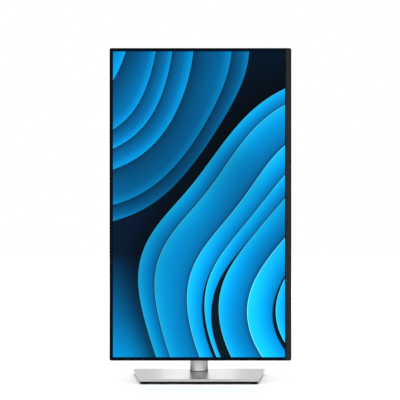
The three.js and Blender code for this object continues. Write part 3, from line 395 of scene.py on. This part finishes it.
MATERIALS = {
    "silver_base": brushed_silver("silver_base", along="X", level=0.57, rough=0.30, metallic=1.0),
    "silver_column": brushed_silver("silver_column", along="Z", level=0.64, rough=0.36, metallic=0.9),
    "cover_plastic": moulded_plastic("cover_plastic", (0.022, 0.023, 0.026, 1.0)),
    "rim_plastic": moulded_plastic("rim_plastic", (0.0022, 0.003, 0.004, 1.0), rough=0.45,
                                   grain=3200.0, depth=0.00001, specular=0.045),
    "base_plastic": moulded_plastic("base_plastic", (0.005, 0.005, 0.0055, 1.0), rough=0.55,
                                    grain=2200.0, specular=0.1),
    "control_plastic": moulded_plastic("control_plastic", (0.03, 0.031, 0.034, 1.0), rough=0.35,
                                       grain=3600.0),
    "nylon": moulded_plastic("nylon", (0.018, 0.018, 0.019, 1.0), rough=0.62, grain=1900.0),
    "coated": moulded_plastic("coated", (0.030, 0.031, 0.033, 1.0), rough=0.38, grain=2400.0,
                              depth=0.00004, specular=0.5),
    "chin": chin_plastic(),
    "screen": screen_glass(),
    "film": white_film(),
    "acrylic": clear_acrylic(),
    "board": circuit_board(),
    "zinc": metal("zinc", (0.58, 0.6, 0.62, 1.0), rough=0.38, spangle=0.5),
    "bright": metal("bright", (0.62, 0.63, 0.65, 1.0), rough=0.26),
    "socket": metal("socket", (0.3, 0.305, 0.315, 1.0), rough=0.36, grain=4200.0, dent=0.000001),
    "spring": metal("spring", (0.22, 0.225, 0.24, 1.0), rough=0.3),
    "casting": metal("casting", (0.5, 0.51, 0.52, 1.0), rough=0.5, grain=1500.0, dent=0.00005),
    "painted": metal("painted", (0.06, 0.06, 0.065, 1.0), rough=0.5),
    "rubber": rubber(),
}

# the look of each of the record's material slots
SLOT_LOOKS = {
    "silver_metal": "silver_base",
    "satin_black_plastic": "cover_plastic",
    "chin_plastic": "chin",
    "screen_glass": "screen",
    "white_film": "film",
    "clear_acrylic": "acrylic",
    "led_board": "film",
    "zinc_steel": "zinc",
    "bright_steel": "bright",
    "base_steel": "painted",
    "spring_steel": "spring",
    "cast_aluminium": "casting",
    "circuit_board": "board",
    "socket_shell": "socket",
    "black_nylon": "nylon",
    "foot_rubber": "rubber",
}
# the nodes that look different from the rest of their slot
NODE_LOOKS = {
    "front_rim": "rim_plastic",
    "base_underside": "base_plastic",
    "column_shell": "silver_column",
    "column_cap": "silver_column",
    "power_button": "control_plastic",
    "quick_release_plate": "coated",
    "pivot_hub": "coated",
    "tilt_bracket": "coated",
    "release_button": "control_plastic",
    "joystick_cap": "control_plastic",
}

for entry in frame["record"]["subparts"]:
    name = entry["node"]
    look = NODE_LOOKS.get(name, SLOT_LOOKS[entry["material_slot"]])
    NODES[name].data.materials.clear()
    NODES[name].data.materials.append(MATERIALS[look])


# ------------------------------------------------------------------ finer edges on the CAD pieces

SHARP_FOLD = math.radians(32)  # edges that bend more than this are shaded sharp
ROUNDED_FOLD = math.radians(40)  # edges that bend more than this are rounded
FLAT_WITHIN = math.radians(0.3)  # faces this close to one plane are joined before the rounding
WELD_DISTANCE = 0.002 * MM
EDGE_STEPS = 2


def geometry_tree(name):
    """An empty group of geometry nodes, with its input and output nodes."""
    tree = bpy.data.node_groups.new(name, "GeometryNodeTree")
    tree.interface.new_socket("Geometry", in_out="INPUT", socket_type="NodeSocketGeometry")
    tree.interface.new_socket("Geometry", in_out="OUTPUT", socket_type="NodeSocketGeometry")
    return tree, tree.nodes.new("NodeGroupInput"), tree.nodes.new("NodeGroupOutput")


def smoothing_nodes(angle):
    """Geometry nodes that shade a mesh smooth, and keep edges over the angle sharp."""
    tree, source, result = geometry_tree("smooth_by_angle")
    faces = tree.nodes.new("GeometryNodeSetShadeSmooth")
    faces.domain = "FACE"
    edges = tree.nodes.new("GeometryNodeSetShadeSmooth")
    edges.domain = "EDGE"
    edges.inputs["Shade Smooth"].default_value = False
    fold = tree.nodes.new("GeometryNodeInputMeshEdgeAngle")
    sharp = tree.nodes.new("FunctionNodeCompare")
    sharp.data_type = "FLOAT"
    sharp.operation = "GREATER_THAN"
    sharp.inputs[1].default_value = angle
    tree.links.new(source.outputs[0], faces.inputs["Geometry"])
    tree.links.new(faces.outputs[0], edges.inputs["Geometry"])
    tree.links.new(fold.outputs["Unsigned Angle"], sharp.inputs[0])
    tree.links.new(sharp.outputs[0], edges.inputs["Selection"])
    tree.links.new(edges.outputs[0], result.inputs[0])
    return tree


def welding_nodes():
    """Geometry nodes that join the split corners of an imported mesh and drop its flat normals."""
    tree, source, result = geometry_tree("weld")
    merge = tree.nodes.new("GeometryNodeMergeByDistance")
    merge.inputs["Distance"].default_value = WELD_DISTANCE
    drop = tree.nodes.new("GeometryNodeRemoveAttribute")
    drop.inputs["Name"].default_value = "custom_normal"
    tree.links.new(source.outputs[0], merge.inputs["Geometry"])
    tree.links.new(merge.outputs[0], drop.inputs["Geometry"])
    tree.links.new(drop.outputs[0], result.inputs[0])
    return tree


SMOOTH = smoothing_nodes(SHARP_FOLD)
WELD = welding_nodes()


def soften(obj, width):
    """Rounds an object's hard edges by a small width, and shades its curved faces smooth."""
    obj.modifiers.new("weld", "NODES").node_group = WELD
    if width:
        flat = obj.modifiers.new("flat", "DECIMATE")
        flat.decimate_type = "DISSOLVE"
        flat.angle_limit = FLAT_WITHIN
        edge = obj.modifiers.new("edge", "BEVEL")
        edge.width = width
        edge.segments = EDGE_STEPS
        edge.limit_method = "ANGLE"
        edge.angle_limit = ROUNDED_FOLD
        edge.use_clamp_overlap = True
    obj.modifiers.new("smooth", "NODES").node_group = SMOOTH
    if width:
        obj.modifiers.new("level", "WEIGHTED_NORMAL").keep_sharp = True


EDGE_WIDTHS = {
    "front_rim": 0.4 * MM,
    "chin_strip": 0.3 * MM,
    "base_cover": 0.08 * MM,
    "base_underside": 0.3 * MM,
    "column_cap": 0.5 * MM,
    "arm_cover": 0.5 * MM,
    "release_button": 0.4 * MM,
    "power_button": 0.4 * MM,
    "cable_clip": 0.5 * MM,
    "tilt_bracket": 0.3 * MM,
    "lift_arm": 0.8 * MM,
    "quick_release_plate": 0.3 * MM,
}

for name, node in NODES.items():
    soften(node, EDGE_WIDTHS.get(name, 0.0))


# ------------------------------------------------------------------ rear cover

BORDER = 5.9 * MM  # how far the cover reaches past the picture
CHIN = 11.0 * MM
HALF_WIDTH = ACTIVE_LONG / 2 + BORDER
HEAD_TOP = ACTIVE_SHORT / 2 + BORDER
HEAD_BOTTOM = -ACTIVE_SHORT / 2 - CHIN
HEAD_CORNER = 3.0 * MM
COVER_FRONT = 7.3 * MM  # depths are counted from the front of the rim
PLATE_BACK = 9.5 * MM
COVER_BACK = 46.0 * MM
COVER_WALL = 2.2 * MM
BULGE_HALF_WIDTH = 205.0 * MM
BULGE_HALF_HEIGHT = 118.0 * MM
BULGE_CORNER = 52.0 * MM
BULGE_ROUND = 44.0 * MM  # how far the bulge's sides roll in up to its flat back
PLATE_EDGE = 1.0 * MM  # rounding of the thin plate's back edge
BULGE_FILLET = 5.0 * MM
BULGE_STEPS = 18
INSIDE_STEPS = 8
INSIDE_REACH = 4.0 * MM  # how far the inside reaches out of the cover's open front
RECESS_TOP = -84.0 * MM  # the recess for the sockets
RECESS_FLOOR = 16.0 * MM
RECESS_HALF_WIDTH = 165.0 * MM
MOUNT_HALF_WIDTH = 62.0 * MM  # the opening for the stand's plate
MOUNT_BOTTOM = -66.0 * MM
BUTTON_HALF_WIDTH = 16.0 * MM  # the opening for the release button
BUTTON_BOTTOM = -79.0 * MM
BUTTON_TOP = -69.0 * MM
VENT_COUNT = 27
VENT_PITCH = 10.0 * MM
VENT_WIDTH = 3.2 * MM
VENT_DEPTHS = (24.0 * MM, 41.0 * MM)
VENT_HEIGHTS = (84.0 * MM, 125.0 * MM)  # from inside the cover to above the bulge
KEYS_X = 150.0 * MM  # the power button and the joystick, one above the other
POWER_Z = -20.0 * MM
POWER_HOLE = 5.4 * MM
STICK_Z = -48.0 * MM
STICK_HOLE = 7.0 * MM
LOCK_DEPTHS = (22.0 * MM, 25.0 * MM)  # the lock slot, in the bulge's side
LOCK_HALF_HEIGHT = 3.5 * MM
SOCKET_PLAY = 0.3 * MM  # between a socket and its hole
HOLE_SIDES = 40
# the cutters reach past the cover, so that they cut right through it
BEHIND_COVER = COVER_BACK + 2.0 * MM
INSIDE_BACK = COVER_BACK - COVER_WALL - 1.5 * MM
BELOW_BULGE = -BULGE_HALF_HEIGHT - 6.0 * MM
BELOW_RECESS = -BULGE_HALF_HEIGHT - 12.0 * MM
PAST = 1.0 * MM


def loop(x0, x1, z0, z1, radius, y, corner_steps=10, side_steps=12):
    """A rounded rectangle at depth y, as points that go once round it."""
    centres = [
        (x1 - radius, z0 + radius, -90),
        (x1 - radius, z1 - radius, 0),
        (x0 + radius, z1 - radius, 90),
        (x0 + radius, z0 + radius, 180),
    ]
    points = []
    for i, (cx, cz, start) in enumerate(centres):
        for step in range(corner_steps + 1):
            turn = math.radians(start + 90 * step / corner_steps)
            points.append(Vector((cx + radius * math.cos(turn), y, cz + radius * math.sin(turn))))
        nx, nz, after = centres[(i + 1) % 4]
        turn = math.radians(after)
        last = points[-1].copy()
        following = Vector((nx + radius * math.cos(turn), y, nz + radius * math.sin(turn)))
        for step in range(1, side_steps):
            points.append(last.lerp(following, step / side_steps))
    return points


def circle(x, z, radius, y, sides):
    """A circle at depth y, as points that go once round it."""
    turns = [2 * math.pi * i / sides for i in range(sides)]
    return [Vector((x + radius * math.cos(t), y, z + radius * math.sin(t))) for t in turns]


def object_from(name, shape):
    """Makes an object in the scene out of a finished bmesh."""
    mesh = bpy.data.meshes.new(name)
    shape.to_mesh(mesh)
    shape.free()
    obj = bpy.data.objects.new(name, mesh)
    bpy.context.scene.collection.objects.link(obj)
    return obj


def lofted(name, loops):
    """A closed mesh object through loops of equal length, with flat ends."""
    shape = bmesh.new()
    rings = [[shape.verts.new(point) for point in ring] for ring in loops]
    count = len(rings[0])
    for ring, further in zip(rings, rings[1:]):
        for i in range(count):
            j = (i + 1) % count
            shape.faces.new((ring[i], ring[j], further[j], further[i]))
    shape.faces.new(reversed(rings[0]))
    shape.faces.new(rings[-1])
    bmesh.ops.recalc_face_normals(shape, faces=shape.faces)
    return object_from(name, shape)


def bulge_loop(inset, depth, back):
    """The bulge's outline at a depth: its sides roll in as a quarter of an ellipse."""
    share = (depth - PLATE_BACK) / (back - PLATE_BACK)
    moved = inset + BULGE_ROUND * (1 - math.sqrt(max(0.0, 1 - share * share)))
    w = BULGE_HALF_WIDTH - moved
    h = BULGE_HALF_HEIGHT - moved
    return loop(-w, w, -h, h, BULGE_CORNER - moved, depth)


def plate_loop(inset, depth):
    """The thin plate's outline at a depth."""
    return loop(-HALF_WIDTH + inset, HALF_WIDTH - inset, HEAD_BOTTOM + inset, HEAD_TOP - inset,
                HEAD_CORNER - inset, depth)


def cover_outside():
    """The thin plate, a fillet at the foot of the bulge, and the bulge up to its flat back."""
    loops = [plate_loop(0.0, COVER_FRONT), plate_loop(0.0, PLATE_BACK - PLATE_EDGE)]
    for step in range(1, 5):
        turn = math.radians(22.5 * step)
        inset = PLATE_EDGE * (1 - math.cos(turn))
        loops.append(plate_loop(inset, PLATE_BACK - PLATE_EDGE * (1 - math.sin(turn))))
    for step in range(7):
        turn = math.radians(15 * step)
        grown = BULGE_FILLET * (1 - math.sin(turn))
        depth = PLATE_BACK + BULGE_FILLET * (1 - math.cos(turn))
        w = BULGE_HALF_WIDTH + grown
        h = BULGE_HALF_HEIGHT + grown
        loops.append(loop(-w, w, -h, h, BULGE_CORNER + grown, depth))
    lift = math.asin(BULGE_FILLET / (COVER_BACK - PLATE_BACK))
    for step in range(1, BULGE_STEPS):
        share = math.sin(lift + (math.pi / 2 - lift) * step / BULGE_STEPS)
        loops.append(bulge_loop(0.0, PLATE_BACK + (COVER_BACK - PLATE_BACK) * share, COVER_BACK))
    loops.append(bulge_loop(0.0, COVER_BACK, COVER_BACK))
    return lofted("cover_outside", loops)


def cover_inside():
    """The space inside the cover, which reaches out through its front."""
    back = COVER_BACK - COVER_WALL
    loops = [bulge_loop(COVER_WALL, PLATE_BACK, back)]
    loops.insert(0, [point - Vector((0, INSIDE_REACH, 0)) for point in loops[0]])
    for step in range(1, INSIDE_STEPS + 1):
        share = math.sin(math.pi / 2 * step / INSIDE_STEPS)
        loops.append(bulge_loop(COVER_WALL, PLATE_BACK + (back - PLATE_BACK) * share, back))
    return lofted("cover_inside", loops)


def block(name, x0, x1, y0, y1, z0, z1, radius, steps=4):
    """A block with rounded edges along Y."""
    return lofted(name, [loop(x0, x1, z0, z1, radius, y, steps, 1) for y in (y0, y1)])


def rod(name, x, z, radius, y0, y1):
    """A round cutter along Y."""
    return lofted(name, [circle(x, z, radius, y, HOLE_SIDES) for y in (y0, y1)])


def slot_bank(name, count, pitch, width, depths, heights):
    """A row of round-ended slots as one cutter. They run through the cover along Z."""
    shape = bmesh.new()
    radius = width / 2
    for i in range(count):
        x = (i - (count - 1) / 2) * pitch
        outline = []
        for centre, start in ((depths[1] - radius, 0), (depths[0] + radius, 180)):
            for step in range(9):
                turn = math.radians(start + 22.5 * step)
                outline.append((x + radius * math.cos(turn), centre + radius * math.sin(turn)))
        low = [shape.verts.new((px, py, heights[0])) for px, py in outline]
        high = [shape.verts.new((px, py, heights[1])) for px, py in outline]
        for a in range(len(outline)):
            b = (a + 1) % len(outline)
            shape.faces.new((low[a], low[b], high[b], high[a]))
        shape.faces.new(reversed(low))
        shape.faces.new(high)
    bmesh.ops.recalc_face_normals(shape, faces=shape.faces)
    return object_from(name, shape)


def carve(obj, *tools):
    """Cuts each tool out of obj, and removes the tools."""
    for tool in tools:
        cut = obj.modifiers.new("cut", "BOOLEAN")
        cut.operation = "DIFFERENCE"
        cut.solver = "EXACT"
        cut.object = tool
    bpy.context.view_layer.update()
    ready = bpy.data.meshes.new_from_object(obj.evaluated_get(bpy.context.evaluated_depsgraph_get()))
    obj.modifiers.clear()
    obj.data = ready
    for tool in tools:
        bpy.data.objects.remove(tool)
    return obj


def recess_block(name, grown, bottom, corner):
    """A block of the recess's shape, or of that shape grown by the thickness of its walls."""
    return block(name, -RECESS_HALF_WIDTH - grown, RECESS_HALF_WIDTH + grown, RECESS_FLOOR - grown,
                 BEHIND_COVER, bottom, RECESS_TOP + grown, corner)


def back_opening(name, half_width, bottom, top, corner, steps=4):
    """A cutter for an opening in the cover's flat back."""
    return block(name, -half_width, half_width, INSIDE_BACK, BEHIND_COVER, bottom, top, corner, steps)


def socket_hole(node):
    """The hole in the recess's wall that a socket looks out through."""
    low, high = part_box(node)
    corners = [HEAD.inverted() @ low, HEAD.inverted() @ high]
    x0, x1 = sorted(corner.x for corner in corners)
    y0, y1 = sorted(corner.y for corner in corners)
    return block("hole", x0 - SOCKET_PLAY, x1 + SOCKET_PLAY, y0 - SOCKET_PLAY, y1 + SOCKET_PLAY,
                 RECESS_TOP - PAST, RECESS_TOP + COVER_WALL + PAST, 0.4 * MM)


def onto_head(obj, look):
    """Turns a piece drawn as the head hangs in landscape into place, and gives it its material."""
    obj.data.transform(HEAD)
    obj.data.materials.clear()
    obj.data.materials.append(MATERIALS[look])


def rear_cover():
    """The cover: its outside less its inside, the recess, the openings and the vents."""
    inside = carve(cover_inside(), recess_block("around", COVER_WALL, BELOW_BULGE, corner=5 * MM))
    recess = recess_block("recess", 0.0, BELOW_RECESS, corner=4 * MM)
    mount = back_opening("mount", MOUNT_HALF_WIDTH, MOUNT_BOTTOM, MOUNT_HALF_WIDTH, corner=6 * MM, steps=8)
    button = back_opening("button", BUTTON_HALF_WIDTH, BUTTON_BOTTOM, BUTTON_TOP, corner=2.2 * MM)
    lock = block("lock", BULGE_HALF_WIDTH - 12 * MM, BULGE_HALF_WIDTH + 3 * MM, *LOCK_DEPTHS,
                 -LOCK_HALF_HEIGHT, LOCK_HALF_HEIGHT, 1 * MM)
    vents = slot_bank("vents", VENT_COUNT, VENT_PITCH, VENT_WIDTH, VENT_DEPTHS, VENT_HEIGHTS)
    cover = carve(cover_outside(), inside, recess, mount, button, lock, vents)
    holes = [rod("power", KEYS_X, POWER_Z, POWER_HOLE, INSIDE_BACK, BEHIND_COVER),
             rod("stick", KEYS_X, STICK_Z, STICK_HOLE, INSIDE_BACK, BEHIND_COVER)]
    for node in ("hdmi_socket", "displayport_socket", "usb_socket", "ac_inlet"):
        holes.append(socket_hole(node))
    carve(cover, *holes)
    cover.name = "back_cover"
    onto_head(cover, "cover_plastic")
    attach(cover, "display")
    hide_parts("rear_cover")
    soften(cover, 0.3 * MM)


rear_cover()


# ------------------------------------------------------------------ screws in the stand's plate

SCREW_REACH = 36.0 * MM  # from the plate's middle to each well, along and up
SCREW_FLANGE = 6.2 * MM
SCREW_HEAD = 4.6 * MM
SCREW_SEAT = 38.6 * MM  # depths, like the rear cover's
SCREW_TOP = 42.6 * MM
FLANGE_TOP = SCREW_SEAT + 0.9 * MM
CROSS_REACH = 2.4 * MM
CROSS_HALF_WIDTH = 0.55 * MM
CROSS_FLOOR = SCREW_TOP - 1.9 * MM
SCREW_SIDES = 32


def cross_arm(x, z, half_length, half_height):
    """A cutter for one arm of a screw's cross recess."""
    return block("arm", x - half_length, x + half_length, CROSS_FLOOR, SCREW_TOP + PAST,
                 z - half_height, z + half_height, 0.2 * MM, 1)


def plate_screw(name, x, z):
    """A screw with a flange and a cross recess, in one of the plate's four wells."""
    profile = [(SCREW_FLANGE, SCREW_SEAT), (SCREW_FLANGE, FLANGE_TOP), (SCREW_HEAD, FLANGE_TOP)]
    for step in range(7):
        turn = math.radians(15 * step)
        radius = SCREW_HEAD * (0.35 + 0.65 * math.cos(turn))
        profile.append((radius, FLANGE_TOP + (SCREW_TOP - FLANGE_TOP) * (0.5 + 0.5 * math.sin(turn))))
    screw = lofted(name, [circle(x, z, radius, y, SCREW_SIDES) for radius, y in profile])
    carve(screw, cross_arm(x, z, CROSS_REACH, CROSS_HALF_WIDTH),
          cross_arm(x, z, CROSS_HALF_WIDTH, CROSS_REACH))
    onto_head(screw, "spring")
    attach(screw, "display")
    soften(screw, 0.0)


for across, side in ((-1, "left"), (1, "right")):
    for up, end in ((-1, "low"), (1, "high")):
        plate_screw("plate_screw_" + end + "_" + side, across * SCREW_REACH, up * SCREW_REACH)


# ------------------------------------------------------------------ stage, light and camera

FLOOR_HALF_SIZE = 6.0
GLOW_DISTANCES = (0.5, 2.5)  # where the floor starts to glow, and where it glows most
GLOW = 0.7


def plain_floor():
    """A pale matt floor, which glows a little far from the object so that it joins the backdrop."""
    shape = bmesh.new()
    bmesh.ops.create_grid(shape, x_segments=1, y_segments=1, size=FLOOR_HALF_SIZE)
    floor = object_from("floor", shape)
    s = Shader("floor")
    place = s.node("SeparateXYZ", Vector=s.place())
    across = s.math("POWER", s.math("ABSOLUTE", place.outputs["X"]), 2.0)
    away = s.math("SQRT", s.math("ADD", across, s.math("POWER", place.outputs["Y"], 2.0)))
    s.look(Base_Color=grey(0.87), Roughness=0.8, Emission_Color=grey(1.0),
           Emission_Strength=s.span(away, *GLOW_DISTANCES, 0.0, GLOW, smooth=True),
           Specular_IOR_Level=0.1)
    floor.data.materials.append(s.material)
    return floor


# (direction, strength) of the surroundings' light, from in front of the screen (0) to behind it (1)
BACKDROP = [(0.0, 0.75), (0.1, 0.6), (0.28, 0.24), (0.6, 0.15), (0.86, 0.22), (0.94, 0.74), (1.0, 0.95)]
SKY_RISE = (0.35, 0.8)  # how steeply up the extra light from above starts, and where it is full
SKY = 0.3


def studio_world():
    """White to the camera. As light it is brightest behind the object, and dimmest beside it."""
    world = bpy.data.worlds.new("studio")
    bpy.context.scene.world = world
    world.use_nodes = True
    tree = world.node_tree
    background = tree.nodes["Background"]
    direction = tree.nodes.new("ShaderNodeTexCoord")
    parts = tree.nodes.new("ShaderNodeSeparateXYZ")
    depth = tree.nodes.new("ShaderNodeMapRange")
    depth.inputs["From Min"].default_value = -1.0
    level = tree.nodes.new("ShaderNodeValToRGB")
    band = level.color_ramp
    band.elements[0].color = grey(BACKDROP[0][1])
    band.elements[1].color = grey(BACKDROP[-1][1])
    for where, strength in BACKDROP[1:-1]:
        band.elements.new(where).color = grey(strength)
    path = tree.nodes.new("ShaderNodeLightPath")
    seen = tree.nodes.new("ShaderNodeMix")
    seen.inputs["B"].default_value = 1.0
    tree.links.new(direction.outputs["Generated"], parts.inputs[0])
    tree.links.new(parts.outputs["Y"], depth.inputs["Value"])
    tree.links.new(depth.outputs[0], level.inputs["Fac"])
    tree.links.new(path.outputs["Is Camera Ray"], seen.inputs["Factor"])
    above = tree.nodes.new("ShaderNodeMapRange")
    above.inputs["From Min"].default_value = SKY_RISE[0]
    above.inputs["From Max"].default_value = SKY_RISE[1]
    above.inputs["To Max"].default_value = SKY
    total = tree.nodes.new("ShaderNodeMath")
    tree.links.new(parts.outputs["Z"], above.inputs["Value"])
    tree.links.new(level.outputs["Color"], total.inputs[0])
    tree.links.new(above.outputs[0], total.inputs[1])
    tree.links.new(total.outputs[0], seen.inputs["A"])
    tree.links.new(seen.outputs[0], background.inputs["Strength"])
    background.inputs["Color"].default_value = grey(1.0)


def softbox(name, place, target, width, height, power):
    """A rectangular light that shines from place towards target."""
    light = bpy.data.lights.new(name, "AREA")
    light.shape = "RECTANGLE"
    light.size = width
    light.size_y = height
    light.energy = power
    box = bpy.data.objects.new(name, light)
    box.location = place
    box.rotation_euler = (Vector(target) - Vector(place)).to_track_quat("-Z", "Y").to_euler()
    box.visible_camera = False
    bpy.context.scene.collection.objects.link(box)
    return box


def only_on(light, obj):
    """Lets a light fall on one object alone."""
    group = bpy.data.collections.new("lit_by_" + light.name)
    group.objects.link(obj)
    light.light_linking.receiver_collection = group


def shaded_by(light, *blockers):
    """Lets these objects alone throw a shadow from a light."""
    group = bpy.data.collections.new("shadows_from_" + light.name)
    for blocker in blockers:
        group.objects.link(blocker)
    light.light_linking.blocker_collection = group


def studio_lights(floor):
    """Soft light from both sides and above, and small lights for the stand and the floor alone."""
    softbox("front_left", (-1.2, -1.6, 1.1), (0.0, 0.0, 0.25), width=1.6, height=1.4, power=14.0)
    softbox("front_right", (1.3, -1.4, 0.9), (0.0, 0.0, 0.25), width=1.4, height=1.2, power=11.0)
    softbox("overhead", (0.0, 1.0, 1.9), (0.0, 0.1, 0.1), width=2.2, height=2.0, power=10.0)
    sheen = softbox("behind", (PIVOT.x, 0.55, 0.16), (PIVOT.x, 0.0, 0.0), width=0.16, height=0.16,
                    power=0.06)
    only_on(sheen, NODES["base_cover"])
    front = softbox("column_front", (PIVOT.x, -0.6, 0.095), (PIVOT.x, 0.041, 0.015), width=0.12,
                    height=0.05, power=0.13)
    only_on(front, NODES["column_shell"])
    foot = softbox("column_foot", (PIVOT.x, 0.005, 0.002), (PIVOT.x, 0.041, 0.018), width=0.012,
                   height=0.006, power=0.0027)
    only_on(foot, NODES["column_shell"])
    shaded_by(foot, floor)
    wash = softbox("floor_light", (0.0, -0.3, 2.2), (0.0, 0.0, 0.0), width=3.0, height=3.0, power=48.0)
    only_on(wash, floor)
    shaded_by(wash, NODES["base_underside"])


CAMERA_DISTANCE = 2.395  # from the screen's front
FRAME_WIDTH = 0.6896  # how much the view takes in at the screen's front
SENSOR = 36.0
CAMERA_ABOVE_PIVOT = 0.0075
CAMERA_BESIDE_PIVOT = 0.0018


def studio_camera():
    """A level camera straight in front of the screen."""
    data = bpy.data.cameras.new("camera")
    data.sensor_width = SENSOR
    data.lens = SENSOR * CAMERA_DISTANCE / FRAME_WIDTH
    camera = bpy.data.objects.new("camera", data)
    camera.location = (PIVOT.x + CAMERA_BESIDE_PIVOT, SCREEN_Y - CAMERA_DISTANCE,
                       PIVOT.z + CAMERA_ABOVE_PIVOT)
    camera.rotation_euler = (math.radians(90), 0.0, 0.0)
    bpy.context.scene.collection.objects.link(camera)
    bpy.context.scene.camera = camera


studio_world()
studio_lights(plain_floor())
studio_camera()
bpy.context.scene.view_settings.view_transform = "Standard"
